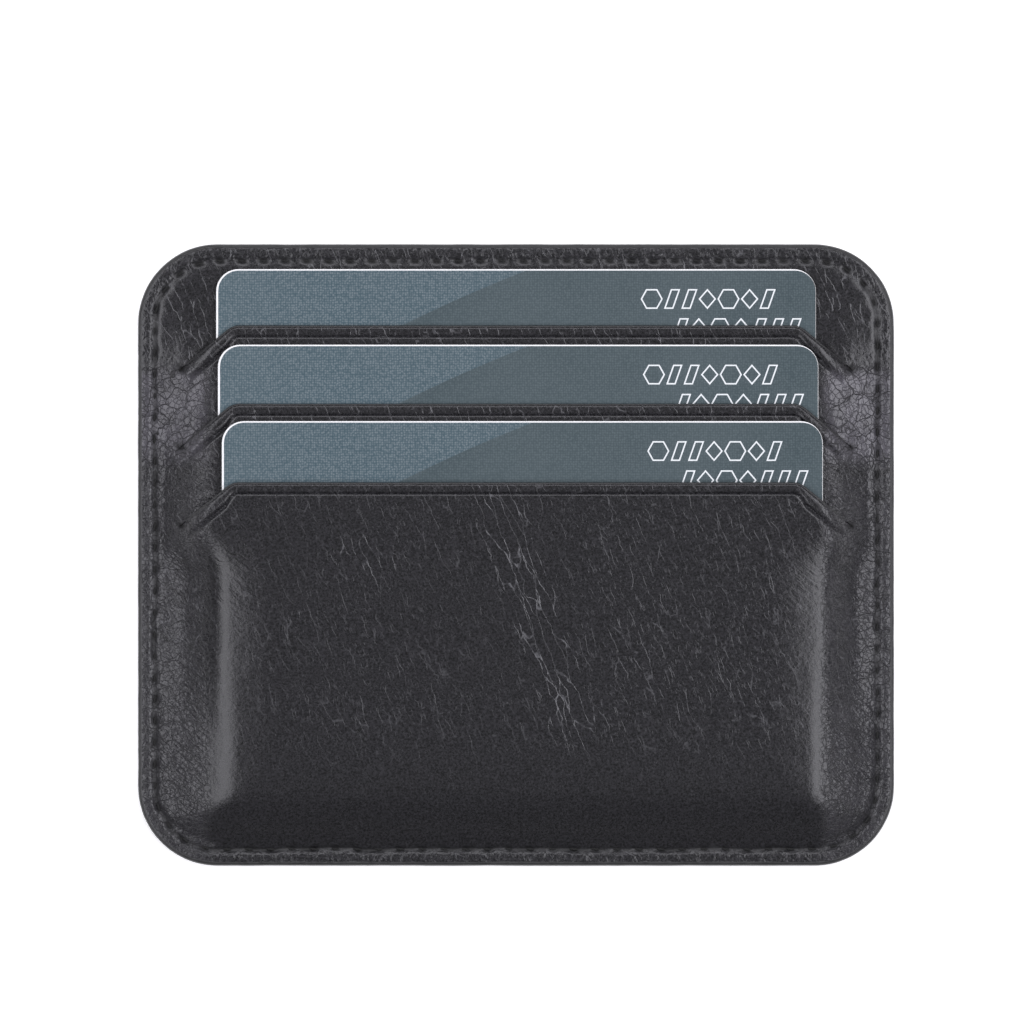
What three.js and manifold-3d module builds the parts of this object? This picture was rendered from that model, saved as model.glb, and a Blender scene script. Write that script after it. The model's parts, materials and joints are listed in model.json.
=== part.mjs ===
// A slim leather card holder: a front panel with three slanted-end card slots, one card in each,
// and a flat banknote pocket that opens along the top edge. It lies on its back.
// Millimetres. +X runs to the right and +Y towards the slot mouths when the front is seen from
// above, +Z comes out of the front. The origin is the centre of the back face.
import * as THREE from "three";
import { mergeVertices } from "three/addons/utils/BufferGeometryUtils.js";
import Module from "manifold-3d";

const wasm = await Module();
wasm.setup();

// ---- Driving dimensions ----

const WIDTH = 108;
const HEIGHT = 88.8;
const CORNER_RADIUS = 11.4;
const ARC_STEPS = 8;

// A standard payment card, its chip module and its magnetic stripe.
const CARD = { width: 85.6, height: 53.98, thickness: 0.76, radius: 3.18 };
const CHIP = { width: 13, height: 11.8, thickness: 0.3, fromLeft: 15.6, fromTop: 23.9 };
const STRIPE = { height: 12.7, thickness: 0.05, fromTop: 10.35 };
const INLAY_GAP = 0.05;

// Layers from the back face up. Glued layers keep a thin glue line.
const GLUE_LINE = 0.05;
const BACK_LEATHER = 1.1;
const LINING = 0.15;
const NOTE_GAP = 0.2;
const FRONT_LEATHER = 0.8;
const BACK_LINING_Z = BACK_LEATHER + GLUE_LINE;
const DIVIDER_Z = BACK_LINING_Z + LINING + NOTE_GAP;
const FRONT_Z = DIVIDER_Z + LINING + GLUE_LINE;
const RIM_TOP = FRONT_Z + FRONT_LEATHER;

// The painted edge stands out from the leather edge and makes the outline.
const PAINT = 0.15;
const LEATHER_INSET = PAINT + GLUE_LINE;
const LINING_INSET = 0.7;

// The seam runs round the holder in a pressed groove.
const SEAM_INSET = 2.4;
const GROOVE = { width: 0.7, depth: 0.35 };
const THREAD = { width: 0.44, height: 0.3 };
const HEM = 3.2;

// Each slot mouth is a straight lip whose two ends slant down to the ends of the cut.
const SLOT_PITCH = 11.2;
const FIRST_LIP_Y = 32.6;
const LIP_HALF = 40.4;
const SLOT_HALF = 48;
const LIP_DROP = 6.2;
const KERF = 0.2;
const TUCK = 2.7;
const TUCK_HALF = 46;
const TUCK_FADE = 5;

// Cards and pockets. The leather is level over the pockets and falls away outside them.
const CLEARANCE = 0.1;
const POCKET_HALF = 43.9;
const LEVEL_HALF = POCKET_HALF + LINING + 0.15;
const POCKET_FOOT = 0.3;
const BELLY_HALF = 51;
const BELLY_SPREAD = 8;
const BELLY_BOTTOM = -41.3;
const BELLY_RADIUS = 8.4;
const BELLY_FALL = 5.4;
const JOIN = 0.3;
const JOIN_INSET = 1.5;
const ROOT = 0.1;

// The cards sit one above the other, each a slot pitch lower and leaning a little more.
const SLOPE_2 = Math.tan(THREE.MathUtils.degToRad(0.7));
const SLOPE_3 = Math.tan(THREE.MathUtils.degToRad(1.4));
const STRIP_STEP = CARD.thickness + 2 * CLEARANCE + FRONT_LEATHER;
const CARD_1_Z = RIM_TOP + CLEARANCE;
const CARD_2_Z = CARD_1_Z + STRIP_STEP;
const CARD_3_Z = CARD_2_Z + STRIP_STEP - 11 * SLOPE_2;
const cards = [
  { name: "rear", x: 0, top: 40.8, slope: 0, y0: 19, z0: CARD_1_Z, backLeaf: 28.3, frontLeaf: 17 },
  { name: "middle", x: 0.3, top: 30, slope: SLOPE_2, y0: 19, z0: CARD_2_Z, backLeaf: 17, frontLeaf: 5.8 },
  { name: "front", x: 0.9, top: 19.1, slope: SLOPE_3, y0: 8, z0: CARD_3_Z, backLeaf: 5.8, frontLeaf: 6.2 },
];

// ---- Materials ----

const leather = new THREE.MeshStandardMaterial({ color: 0x1d1d20, roughness: 0.45, metalness: 0 });
const lining = new THREE.MeshStandardMaterial({ color: 0x141416, roughness: 0.95, metalness: 0 });
const thread = new THREE.MeshStandardMaterial({ color: 0x0c0c0d, roughness: 0.8, metalness: 0 });
const edgePaint = new THREE.MeshStandardMaterial({ color: 0x242426, roughness: 0.35, metalness: 0 });
const cardPlastic = new THREE.MeshStandardMaterial({ color: 0x647680, roughness: 0.4, metalness: 0 });
const chipMetal = new THREE.MeshStandardMaterial({ color: 0xc9a24a, roughness: 0.3, metalness: 1 });
const stripeTape = new THREE.MeshStandardMaterial({ color: 0x191919, roughness: 0.5, metalness: 0 });

// ---- Shape helpers ----

function roundedRectangle(halfWidth, halfHeight, radius) {
  const shape = new THREE.Shape();
  const x = halfWidth - radius;
  const y = halfHeight - radius;
  const quarter = Math.PI / 2;
  shape.absarc(x, y, radius, 0, quarter);
  shape.absarc(-x, y, radius, quarter, 2 * quarter);
  shape.absarc(-x, -y, radius, 2 * quarter, 3 * quarter);
  shape.absarc(x, -y, radius, 3 * quarter, 4 * quarter);
  return shape;
}

// The holder's outline, moved inwards.
function outline(inset) {
  return roundedRectangle(WIDTH / 2 - inset, HEIGHT / 2 - inset, CORNER_RADIUS - inset);
}

function plate(shape, bottom, thickness) {
  const geometry = new THREE.ExtrudeGeometry(shape, {
    depth: thickness,
    bevelEnabled: false,
    curveSegments: ARC_STEPS,
  });
  return geometry.translate(0, 0, bottom);
}

// A plate that follows the outline between two insets.
function band(outerInset, innerInset, bottom, thickness) {
  const shape = outline(outerInset);
  shape.holes.push(outline(innerInset));
  return plate(shape, bottom, thickness);
}

function box(x0, x1, y0, y1, z0, z1) {
  const geometry = new THREE.BoxGeometry(x1 - x0, y1 - y0, z1 - z0);
  return geometry.translate((x0 + x1) / 2, (y0 + y1) / 2, (z0 + z1) / 2);
}

// A closed sheet over a grid. at(column, row) gives x, y and the heights of its two faces.
function sheet(columns, rows, at) {
  const positions = [];
  const indices = [];
  const layer = columns * rows;
  for (let side = 0; side < 2; side++) {
    for (let r = 0; r < rows; r++) {
      for (let c = 0; c < columns; c++) {
        const [x, y, ...faces] = at(c, r);
        positions.push(x, y, faces[side]);
      }
    }
  }
  const quad = (a, b, c, d) => indices.push(a, b, c, a, c, d);
  const id = (c, r, side) => side * layer + r * columns + c;
  for (let r = 0; r + 1 < rows; r++) {
    for (let c = 0; c + 1 < columns; c++) {
      quad(id(c, r, 1), id(c, r + 1, 1), id(c + 1, r + 1, 1), id(c + 1, r, 1));
      quad(id(c, r, 0), id(c + 1, r, 0), id(c + 1, r + 1, 0), id(c, r + 1, 0));
    }
  }
  for (let c = 0; c + 1 < columns; c++) {
    quad(id(c, 0, 0), id(c, 0, 1), id(c + 1, 0, 1), id(c + 1, 0, 0));
    quad(id(c + 1, rows - 1, 0), id(c + 1, rows - 1, 1), id(c, rows - 1, 1), id(c, rows - 1, 0));
  }
  for (let r = 0; r + 1 < rows; r++) {
    quad(id(0, r + 1, 0), id(0, r + 1, 1), id(0, r, 1), id(0, r, 0));
    quad(id(columns - 1, r, 0), id(columns - 1, r, 1), id(columns - 1, r + 1, 1), id(columns - 1, r + 1, 0));
  }
  const geometry = new THREE.BufferGeometry();
  geometry.setAttribute("position", new THREE.Float32BufferAttribute(positions, 3));
  geometry.setIndex(indices);
  return geometry;
}

function toSolid(geometry) {
  const bare = geometry.clone();
  bare.deleteAttribute("normal");
  bare.deleteAttribute("uv");
  const merged = mergeVertices(bare, 1e-4);
  return new wasm.Manifold(
    new wasm.Mesh({
      numProp: 3,
      vertProperties: new Float32Array(merged.attributes.position.array),
      triVerts: new Uint32Array(merged.index.array),
    }),
  );
}

function toGeometry(solid) {
  const mesh = solid.getMesh();
  const geometry = new THREE.BufferGeometry();
  geometry.setAttribute("position", new THREE.BufferAttribute(mesh.vertProperties, 3));
  geometry.setIndex(new THREE.BufferAttribute(mesh.triVerts, 1));
  return geometry;
}

// ---- Holder ----

const holder = new THREE.Group();

function addTo(group, name, geometry, material) {
  const mesh = new THREE.Mesh(geometry, material);
  mesh.name = name;
  group.add(mesh);
  return mesh;
}

const smooth = (t) => THREE.MathUtils.smoothstep(t, 0, 1);
const cardUnderside = (card, y) => card.z0 + card.slope * (y - card.y0);

// The lip of a slot, counted from 0 at the top of the holder.
function lipY(slot, x) {
  const slant = THREE.MathUtils.clamp((Math.abs(x) - LIP_HALF) / (SLOT_HALF - LIP_HALF), 0, 1);
  return FIRST_LIP_Y - slot * SLOT_PITCH - slant * LIP_DROP;
}

// The leather above a slot reaches down behind the lip, except near the ends of the cut.
function tuckedEdgeY(slot, x) {
  return lipY(slot, x) + KERF - TUCK * smooth((TUCK_HALF - Math.abs(x)) / TUCK_FADE);
}

// Half the width of the front panel's belly, which starts between the ends of the last slot.
const SLOT_END_Y = lipY(2, SLOT_HALF);
function bellyHalf(y) {
  return SLOT_HALF + (BELLY_HALF - SLOT_HALF) * smooth((SLOT_END_Y - y) / BELLY_SPREAD);
}

// How far a point lies inside the belly's edge, which has rounded lower corners.
function insideBelly(x, y) {
  const side = bellyHalf(y) - Math.abs(x);
  const foot = y - BELLY_BOTTOM;
  if (side > BELLY_RADIUS || foot > BELLY_RADIUS) return Math.min(side, foot);
  return BELLY_RADIUS - Math.hypot(BELLY_RADIUS - side, BELLY_RADIUS - foot);
}

// Half of the columns that follow the slanted ends and the fall of the leather beside the cards.
const sideColumns = [SLOT_HALF + JOIN, SLOT_HALF, 47.4, 46.8, 46.2, 45.5, 44.9, LEVEL_HALF, 42.3, LIP_HALF];
const stripColumns = [...sideColumns.map((x) => -x), ...[...sideColumns].reverse()];

// Both faces of the front leather where it has risen by a share of the way from the rim to its
// level over a card. Where it joins the rim it runs on inside the rim's thickness.
function leatherFaces(level, share) {
  const bottom = FRONT_Z + (level - FRONT_Z) * share;
  const shrink = ROOT * (1 - share);
  return [bottom + shrink, bottom + FRONT_LEATHER - shrink];
}

const stripShare = (x) => smooth((SLOT_HALF - Math.abs(x)) / (SLOT_HALF - LEVEL_HALF));

// A strip of the front panel between one slot and the next, level over the card behind it.
function strip(slot, undersideAt) {
  const at = (c, r) => {
    const x = stripColumns[c];
    const y = r === 0 ? lipY(slot, x) : tuckedEdgeY(slot + 1, x);
    return [x, y, ...leatherFaces(undersideAt(y), stripShare(x))];
  };
  return sheet(stripColumns.length, 2, at);
}

// The undivided lower part of the front panel, over all three cards.
const bellyUnderside = (y) => cardUnderside(cards[2], y) + CARD.thickness + 3 * CLEARANCE;
const BELLY_FOOT = BELLY_BOTTOM - 2 * JOIN;
const bellySides = [53, BELLY_HALF, 49.9, 48.8, 47.7, 46.6, 45.5, LEVEL_HALF, 42.4, LIP_HALF];
const bellyColumns = [...bellySides.map((x) => -x), ...[...bellySides].reverse()];
const bellyRows = [
  SLOT_END_Y, 1.3, -1.4, -4, -20, -32, -34, -35.6, -36.8, -38, -39.2, -40.3, BELLY_BOTTOM, BELLY_FOOT,
];

function bellySheet() {
  const at = (c, r) => {
    const spread = (bellyHalf(bellyRows[r]) - LEVEL_HALF) / (BELLY_HALF - LEVEL_HALF);
    const fromLevel = Math.max(0, Math.abs(bellyColumns[c]) - LEVEL_HALF);
    const x = bellyColumns[c] + Math.sign(bellyColumns[c]) * fromLevel * (spread - 1);
    const down = (SLOT_END_Y - bellyRows[r]) / (SLOT_END_Y - BELLY_FOOT);
    const y = THREE.MathUtils.lerp(lipY(2, x), BELLY_FOOT, down);
    const fall = Math.min(BELLY_FALL, bellyHalf(y) - LEVEL_HALF);
    return [x, y, ...leatherFaces(bellyUnderside(y), smooth(insideBelly(x, y) / fall))];
  };
  return sheet(bellyColumns.length, bellyRows.length, at);
}

// The flat rim of the front panel: the leather above the first slot, both margins and the foot.
function rimPlate() {
  const top = stripColumns.slice(1, -1).map((x) => [x, tuckedEdgeY(0, x)]);
  const side = [SLOT_END_Y, 1.3, -1.4, SLOT_END_Y - BELLY_SPREAD].map((y) => [bellyHalf(y), y]);
  for (let i = 0; i <= ARC_STEPS; i++) {
    const turn = (i / ARC_STEPS) * (Math.PI / 2);
    const x = BELLY_HALF - BELLY_RADIUS * (1 - Math.cos(turn));
    side.push([x, BELLY_BOTTOM + BELLY_RADIUS * (1 - Math.sin(turn))]);
  }
  const mirrored = side.map(([x, y]) => [-x, y]).reverse();
  const window = new THREE.Path();
  window.setFromPoints([...top, ...side, ...mirrored].map(([x, y]) => new THREE.Vector2(x, y)));
  const shape = outline(LEATHER_INSET);
  shape.holes.push(window);
  return plate(shape, FRONT_Z, FRONT_LEATHER);
}

const grooveRing = (bottom) =>
  toSolid(
    band(SEAM_INSET - GROOVE.width / 2, SEAM_INSET + GROOVE.width / 2, bottom, GROOVE.depth + JOIN),
  );

function frontPanel() {
  const overCard = (card) => (y) => cardUnderside(card, y) + CARD.thickness + CLEARANCE;
  return toGeometry(
    toSolid(rimPlate())
      .add(toSolid(strip(0, overCard(cards[0]))))
      .add(toSolid(strip(1, overCard(cards[1]))))
      .add(toSolid(bellySheet()).intersect(toSolid(plate(outline(JOIN_INSET), 0, WIDTH))))
      .subtract(grooveRing(RIM_TOP - GROOVE.depth)),
  );
}

addTo(holder, "front_panel", frontPanel(), leather);

const backPanel = toSolid(plate(outline(LEATHER_INSET), 0, BACK_LEATHER));
addTo(holder, "back_panel", toGeometry(backPanel.subtract(grooveRing(-JOIN))), leather);

addTo(holder, "back_lining", plate(outline(LINING_INSET), BACK_LINING_Z, LINING), lining);

// The banknote pocket's front wall. Its turned hem closes the pocket at the sides and the foot.
function divider() {
  const wall = toSolid(plate(outline(LINING_INSET), DIVIDER_Z, LINING));
  const hem = toSolid(band(LINING_INSET, LINING_INSET + HEM, DIVIDER_Z - LINING, LINING + LINING / 2));
  const mouthBottom = HEIGHT / 2 - CORNER_RADIUS;
  const mouth = box(-WIDTH, WIDTH, mouthBottom, HEIGHT, 0, DIVIDER_Z);
  return toGeometry(wall.add(hem.subtract(toSolid(mouth))));
}

addTo(holder, "note_pocket_divider", divider(), lining);

// Painted edge: a rounded bead round the whole edge, open at the top where the note pocket opens.
function paintedEdge() {
  const bead = { depth: 0.5, size: 0.3 };
  const outer = new THREE.ExtrudeGeometry(outline(bead.size), {
    depth: RIM_TOP - 2 * bead.depth,
    bevelEnabled: true,
    bevelThickness: bead.depth,
    bevelSize: bead.size,
    bevelSegments: 3,
    curveSegments: ARC_STEPS,
  });
  outer.translate(0, 0, bead.depth);
  const inner = plate(outline(PAINT), -JOIN, RIM_TOP + 2 * JOIN);
  const mouthHalf = WIDTH / 2 - CORNER_RADIUS;
  const mouthZ = BACK_LINING_Z + LINING;
  const mouth = box(-mouthHalf, mouthHalf, 0, HEIGHT, mouthZ, mouthZ + NOTE_GAP);
  return toGeometry(toSolid(outer).subtract(toSolid(inner)).subtract(toSolid(mouth)));
}

addTo(holder, "painted_edge", paintedEdge(), edgePaint);

const seamBand = (bottom) =>
  band(SEAM_INSET - THREAD.width / 2, SEAM_INSET + THREAD.width / 2, bottom, THREAD.height);
addTo(holder, "front_seam_thread", seamBand(RIM_TOP - THREAD.height), thread);
addTo(holder, "back_seam_thread", seamBand(GLUE_LINE / 2), thread);

// Paint on the cut edge of each lip, between the parts where the lip stands clear of the leather
// above it.
function lipPaint(slot, undersideAt) {
  const columns = stripColumns.filter((x) => Math.abs(x) < TUCK_HALF);
  const at = (c, r) => {
    const x = columns[c];
    const lip = lipY(slot, x);
    const y = r === 0 ? lip + GLUE_LINE + PAINT : lip + GLUE_LINE;
    return [x, y, ...leatherFaces(undersideAt(lip), stripShare(x))];
  };
  return sheet(columns.length, 2, at);
}

const lipUndersides = [
  (y) => cardUnderside(cards[0], y) + CARD.thickness + CLEARANCE,
  (y) => cardUnderside(cards[1], y) + CARD.thickness + CLEARANCE,
  bellyUnderside,
];
["upper", "middle", "lower"].forEach((place, slot) => {
  addTo(holder, `${place}_lip_paint`, lipPaint(slot, lipUndersides[slot]), edgePaint);
});

// ---- Cards and their pockets, each built flat on its own plane ----

// A card's plane: origin on the underside at the height of y0, leaning with the card.
function cardPlane(card) {
  const plane = new THREE.Group();
  plane.position.set(0, card.y0, card.z0);
  plane.rotation.x = Math.atan(card.slope);
  holder.add(plane);
  return plane;
}

// A fabric bag round the lower part of the card, with a long back leaf and a shorter front leaf.
function pocketBag(card) {
  const foot = card.top - CARD.height - POCKET_FOOT - card.y0;
  const backTop = card.backLeaf - card.y0;
  const frontTop = card.frontLeaf - card.y0;
  const inside = CARD.thickness + CLEARANCE;
  const half = POCKET_HALF + LINING;
  const beyond = Math.max(backTop, frontTop) + 1;
  const whole = toSolid(
    box(-half, half, foot - LINING, Math.max(backTop, frontTop), -CLEARANCE - LINING, inside + LINING),
  );
  const room = toSolid(box(-POCKET_HALF, POCKET_HALF, foot, beyond, -CLEARANCE, inside));
  const aboveFrontLeaf = toSolid(box(-half - 1, half + 1, frontTop, beyond, -CLEARANCE, inside + 1));
  return toGeometry(whole.subtract(room).subtract(aboveFrontLeaf));
}

function cardBody(card) {
  const shape = roundedRectangle(CARD.width / 2, CARD.height / 2, CARD.radius);
  const centreY = card.top - CARD.height / 2 - card.y0;
  const body = toSolid(plate(shape, 0, CARD.thickness).translate(card.x, centreY, 0));
  const chipRoom = toSolid(chipBox(card, INLAY_GAP, 1));
  const stripeRoom = toSolid(stripeBox(card, INLAY_GAP, 1));
  return toGeometry(body.subtract(chipRoom).subtract(stripeRoom));
}

// The chip module lies flush in the card's face. grow and over make the room that it is set in.
function chipBox(card, grow, over) {
  const x = card.x - CARD.width / 2 + CHIP.fromLeft;
  const y = card.top - CHIP.fromTop - card.y0;
  const halfWidth = CHIP.width / 2 + grow;
  const halfHeight = CHIP.height / 2 + grow;
  const bottom = CARD.thickness - CHIP.thickness - grow;
  return box(x - halfWidth, x + halfWidth, y - halfHeight, y + halfHeight, bottom, CARD.thickness + over);
}

// The magnetic stripe lies flush in the card's back.
function stripeBox(card, grow, over) {
  const y = card.top - STRIPE.fromTop - card.y0;
  const halfHeight = STRIPE.height / 2 + grow;
  const halfWidth = CARD.width / 2 + (over > 0 ? over : 0);
  return box(card.x - halfWidth, card.x + halfWidth, y - halfHeight, y + halfHeight, -over, STRIPE.thickness + grow);
}

for (const card of cards) {
  const plane = cardPlane(card);
  addTo(plane, `${card.name}_pocket_lining`, pocketBag(card), lining);
  addTo(plane, `${card.name}_card`, cardBody(card), cardPlastic);
  addTo(plane, `${card.name}_card_chip`, chipBox(card, 0, 0), chipMetal);
  addTo(plane, `${card.name}_card_stripe`, stripeBox(card, 0, 0), stripeTape);
}

export default holder;
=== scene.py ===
"""The looks of the leather card holder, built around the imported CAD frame.

Shapes are worked out in millimetres in the row frame (X right, Y towards the slot mouths, Z out of
the front) and turned into metres when a mesh is made.
"""

import json
import math

import bpy
import numpy as np
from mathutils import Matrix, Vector
from mathutils.geometry import delaunay_2d_cdt
from mathutils.kdtree import KDTree


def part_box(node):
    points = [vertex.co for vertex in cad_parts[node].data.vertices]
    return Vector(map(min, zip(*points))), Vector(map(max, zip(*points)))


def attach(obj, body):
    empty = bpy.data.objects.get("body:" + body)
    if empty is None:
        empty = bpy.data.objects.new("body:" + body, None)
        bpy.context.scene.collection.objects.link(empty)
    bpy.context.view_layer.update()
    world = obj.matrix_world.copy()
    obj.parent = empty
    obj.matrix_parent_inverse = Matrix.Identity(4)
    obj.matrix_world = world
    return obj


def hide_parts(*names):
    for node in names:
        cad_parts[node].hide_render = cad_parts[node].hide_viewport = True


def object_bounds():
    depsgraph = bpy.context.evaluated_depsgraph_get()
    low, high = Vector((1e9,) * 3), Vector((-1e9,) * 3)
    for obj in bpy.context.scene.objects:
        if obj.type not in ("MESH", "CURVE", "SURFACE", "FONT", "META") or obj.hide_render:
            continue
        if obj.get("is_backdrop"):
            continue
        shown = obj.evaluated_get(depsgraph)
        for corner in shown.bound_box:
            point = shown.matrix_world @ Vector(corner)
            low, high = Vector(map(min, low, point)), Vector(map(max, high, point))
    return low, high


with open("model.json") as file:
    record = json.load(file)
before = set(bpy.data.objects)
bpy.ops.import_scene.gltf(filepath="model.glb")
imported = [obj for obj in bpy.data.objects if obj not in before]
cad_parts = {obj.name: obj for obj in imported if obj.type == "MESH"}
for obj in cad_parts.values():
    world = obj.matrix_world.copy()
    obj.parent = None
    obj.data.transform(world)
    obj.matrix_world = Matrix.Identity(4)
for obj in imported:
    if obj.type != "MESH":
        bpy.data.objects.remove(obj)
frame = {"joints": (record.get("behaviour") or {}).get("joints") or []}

MM = 0.001
cad_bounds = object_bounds()


def box_mm(node):
    low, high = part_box(node)
    return np.array(low) / MM, np.array(high) / MM


# ---- Driving dimensions, from the frame where the frame has them ----

HALF_WIDTH, HALF_HEIGHT = box_mm("painted_edge")[1][:2].tolist()
CORNER_RADIUS = 11.4
RIM_TOP = float(box_mm("front_seam_thread")[1][2])
BACK_TOP = float(box_mm("back_panel")[1][2])
FRONT_BOTTOM = float(box_mm("front_panel")[0][2])
LEATHER = RIM_TOP - FRONT_BOTTOM
LEATHER_INSET = HALF_WIDTH - float(box_mm("front_panel")[1][0])

SEAM_INSET = 2.4
SEAM_SINK = 0.15
STITCH_PITCH = 3.1

LIP_GAP = 0.2
FIRST_LIP_Y = float(box_mm("upper_lip_paint")[1][1]) - LIP_GAP
SLOT_PITCH = FIRST_LIP_Y - float(box_mm("middle_lip_paint")[1][1]) + LIP_GAP
LIP_HALF = 40.4
SLOT_HALF = 48.0
LIP_DROP = 6.2
LIP_CORNER = 0.9
CREASE = 1.4
CREASE_END = 46.9
LIP_PAINT_END = 47.2
TUCK = 2.7
TUCK_REACH = 5.5
TUCK_END = 46.5
SLIT_OPENING = 0.12

CARDS = ("rear", "middle", "front")
SLOTS = len(CARDS)
SLOT_END_Y = FIRST_LIP_Y - (SLOTS - 1) * SLOT_PITCH - LIP_DROP
CARD_HEIGHT = 53.98
CARD_THICKNESS = 0.76
CARD_RADIUS = 3.18
CHIP_FROM_TOP = 23.9
CHIP_HEIGHT = 11.8
CHIP_GROOVE = 0.18
STRIPE_TOP, STRIPE_BOTTOM = -4.0, -16.7
JOINTS = {joint["child"]: joint["axis"] for joint in frame["joints"]}


# ---- Small maths ----


def smooth(t):
    t = np.clip(t, 0.0, 1.0)
    return t * t * (3 - 2 * t)


def lattice_noise(x, y, cell, seed):
    """Smooth noise from -1 to 1 with features about one cell across."""
    u, v = np.asarray(x) / cell, np.asarray(y) / cell
    table = np.random.RandomState(seed).uniform(-1, 1, (256, 256))
    iu, iv = np.floor(u).astype(int), np.floor(v).astype(int)
    fu, fv = smooth(u - iu), smooth(v - iv)
    corner = lambda du, dv: table[(iu + du) % 256, (iv + dv) % 256]
    low = corner(0, 0) * (1 - fu) + corner(1, 0) * fu
    high = corner(0, 1) * (1 - fu) + corner(1, 1) * fu
    return low * (1 - fv) + high * fv


def layered_noise(x, y, cell, seed, layers=3):
    total = sum(lattice_noise(x, y, cell / 2**i, seed + i) / 2**i for i in range(layers))
    return total / 1.6


# ---- Outline of the holder ----


def outline_path(step):
    """Points, outward normals and distances along the outline, counter-clockwise."""
    points, normals = [], []
    cx, cy = HALF_WIDTH - CORNER_RADIUS, HALF_HEIGHT - CORNER_RADIUS
    centres = [(cx, cy), (-cx, cy), (-cx, -cy), (cx, -cy)]
    arc = CORNER_RADIUS * math.pi / 2
    for quarter, (x, y) in enumerate(centres):
        arc_steps = round(arc / step)
        for i in range(arc_steps):
            angle = (quarter + i / arc_steps) * math.pi / 2
            normal = (math.cos(angle), math.sin(angle))
            points.append((x + CORNER_RADIUS * normal[0], y + CORNER_RADIUS * normal[1]))
            normals.append(normal)
        nx, ny = centres[(quarter + 1) % 4]
        length = abs(nx - x) + abs(ny - y)
        angle = (quarter + 1) * math.pi / 2
        normal = (math.cos(angle), math.sin(angle))
        side_steps = round(length / step)
        for i in range(side_steps):
            t = i / side_steps
            points.append((x + (nx - x) * t + CORNER_RADIUS * normal[0],
                           y + (ny - y) * t + CORNER_RADIUS * normal[1]))
            normals.append(normal)
    return np.array(points), np.array(normals)


def inset_length(points, normals, inset):
    """Distance along the outline moved inwards, at each of its points, and the whole length."""
    line = points - normals * inset
    steps = np.linalg.norm(np.roll(line, -1, 0) - line, axis=1)
    return np.concatenate([[0], np.cumsum(steps)[:-1]]), float(steps.sum())


OUTLINE_STEP = 0.39
PATH, NORMALS = outline_path(OUTLINE_STEP)
SEAM_S, SEAM_LENGTH = inset_length(PATH, NORMALS, SEAM_INSET)
STITCHES = round(SEAM_LENGTH / STITCH_PITCH)
STITCH_SHOWN = 0.5
STITCH = SEAM_LENGTH / STITCHES


def outline_inset(x, y):
    """How far points lie inside the outline."""
    side, end = HALF_WIDTH - np.abs(x), HALF_HEIGHT - np.abs(y)
    corner = CORNER_RADIUS - np.hypot(CORNER_RADIUS - side, CORNER_RADIUS - end)
    in_corner = (side < CORNER_RADIUS) & (end < CORNER_RADIUS)
    return np.where(in_corner, corner, np.minimum(side, end))


# ---- Slot mouths ----


def lip_drop(x):
    """How far the lip has come down at x: level, a small rounded corner, then a straight slant."""
    slope = LIP_DROP / (SLOT_HALF - LIP_HALF)
    along = np.abs(x) - LIP_HALF
    bend = (np.clip(along, -LIP_CORNER, LIP_CORNER) + LIP_CORNER) ** 2 / (4 * LIP_CORNER)
    drop = slope * (bend + np.maximum(along - LIP_CORNER, 0))
    return np.minimum(drop, LIP_DROP)


def lip_stretch(x):
    """Vertical distance per distance square to the lip."""
    slope = LIP_DROP / (SLOT_HALF - LIP_HALF)
    turn = np.clip((np.abs(x) - LIP_HALF + LIP_CORNER) / (2 * LIP_CORNER), 0, 1)
    return np.sqrt(1 + (slope * turn) ** 2)


def lip_slant(x):
    """0 on the level part of a lip and 1 on its slanted ends."""
    return smooth((np.abs(x) - LIP_HALF + 0.5) / 1.5)


def lip_y(slot, x):
    return FIRST_LIP_Y - slot * SLOT_PITCH - lip_drop(x)


# ---- Heights of the front leather ----

FOOT_INSET = 2.5
RAMP_WIDTH = 9.5
RAMP_PART = 0.16
SHOULDER_PART = 0.2
SHOULDER_WIDTH = 10.5
LEFT_WALL = (2.9, 8.1, 7.0)
RIGHT_WALL = (2.0, 6.5, 5.4)
LEFT_SLOPE = 12.1
RIGHT_SLOPE = 10.0
LOWER_SHOULDER = 14.5
MARGIN_SHOULDER = 8.2
STRIP_GAP = 0.08
BELLY_GAP = 0.36
SHOULDER_SHARE_BELOW = 0.14
CORNER_POWER = 1.8
PROFILE_T = np.linspace(0, 1, 400)


def rise_profile(foot, shoulder):
    """An S-shaped rise from 0 to 1: larger powers keep the foot and the shoulder flatter."""
    rise = np.cumsum(PROFILE_T**foot * (1 - PROFILE_T) ** shoulder)
    return rise / rise[-1]


RAMP_PROFILE = rise_profile(0.7, 1.1)
WALL_PROFILE = rise_profile(1.15, 1.5)
SHOULDER_PROFILE = rise_profile(0.3, 1.3)
SLOPE_PROFILE = rise_profile(0.5, 1.05)
LOWER_PROFILE = rise_profile(0.9, 3.9)
MARGIN_PROFILE = rise_profile(1.0, 1.3)


def card_plane(name):
    """A card's underside as a height at y = 0 and a slope."""
    axis = JOINTS[f"{name}_card_body"]
    slope = axis[2] / axis[1]
    _, top_edge_y, top_edge_z = box_mm(f"{name}_card")[1].tolist()
    face_zero = top_edge_z - slope * top_edge_y
    return face_zero - CARD_THICKNESS * math.hypot(1, slope), slope


PLANES = [card_plane(name) for name in CARDS]


def card_underside(card, y):
    zero, slope = PLANES[card]
    return zero + slope * np.asarray(y)


def region_level(region, y):
    """Height of the leather's face over the cards, above the rim. Region 0 is above the first slot."""
    if region == 0:
        return np.zeros_like(y)
    gap = STRIP_GAP if region < SLOTS else BELLY_GAP
    face = card_underside(region - 1, y) + CARD_THICKNESS + gap + LEATHER
    if region == SLOTS:
        face = face - 0.22 * smooth((-24 - y) / 14)
    return face - RIM_TOP


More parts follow.
